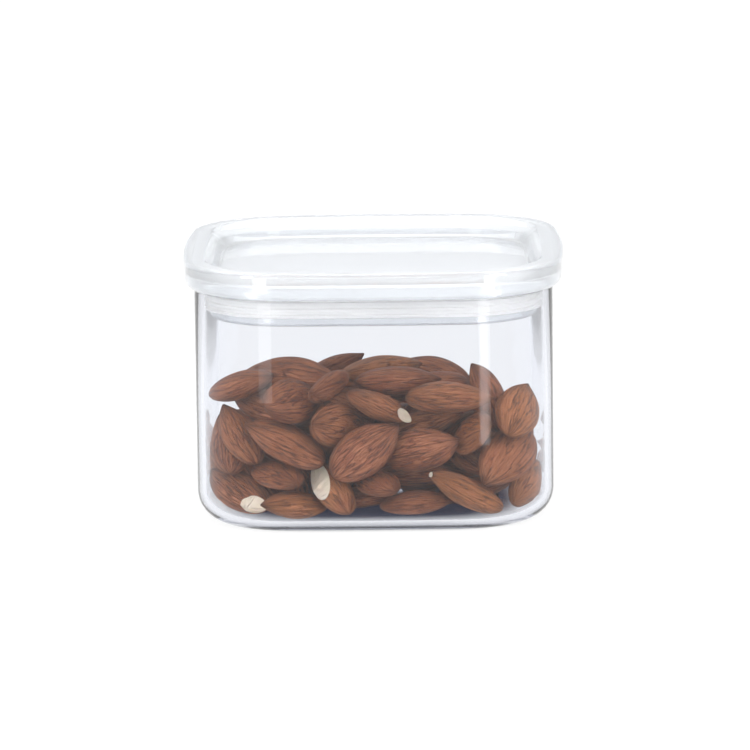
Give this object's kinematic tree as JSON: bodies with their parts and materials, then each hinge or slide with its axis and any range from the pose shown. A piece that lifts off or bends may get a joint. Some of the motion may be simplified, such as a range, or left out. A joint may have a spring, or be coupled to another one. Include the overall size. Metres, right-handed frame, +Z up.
{
  "type": "lidded glass canister",
  "caption": "Square rounded glass storage canister with a clear moulded tray lid, a push-in silicone seal and a fill of whole almonds.",
  "frame": {"origin": "centre of the jar's underside, on the table", "axes": "+Z up through the lid, +Y from the front face to the back, +X to the right seen from the front"},
  "size_m": [0.1068, 0.1068, 0.0733],
  "materials": {
    "jar_glass": "clear, polished",
    "lid_plastic": "clear, glossy, slightly milky",
    "seal_silicone": "translucent, satin",
    "almond_skin": "matte brown skin with fine lengthwise wrinkles"
  },
  "bodies": {
    "jar": {"glass_jar": "jar_glass", "almonds_layer_1": "almond_skin", "almonds_layer_2": "almond_skin", "almonds_layer_3": "almond_skin", "almonds_layer_4": "almond_skin", "almonds_layer_5": "almond_skin", "almonds_layer_6": "almond_skin"},
    "lid": {"lid": "lid_plastic", "silicone_seal": "seal_silicone"}
  },
  "joints": [
    {"name": "lid_lift", "type": "slide", "parent": "jar", "child": "lid", "axis": [0, 0, 1], "range_m": [0, 0.05]}
  ]
}
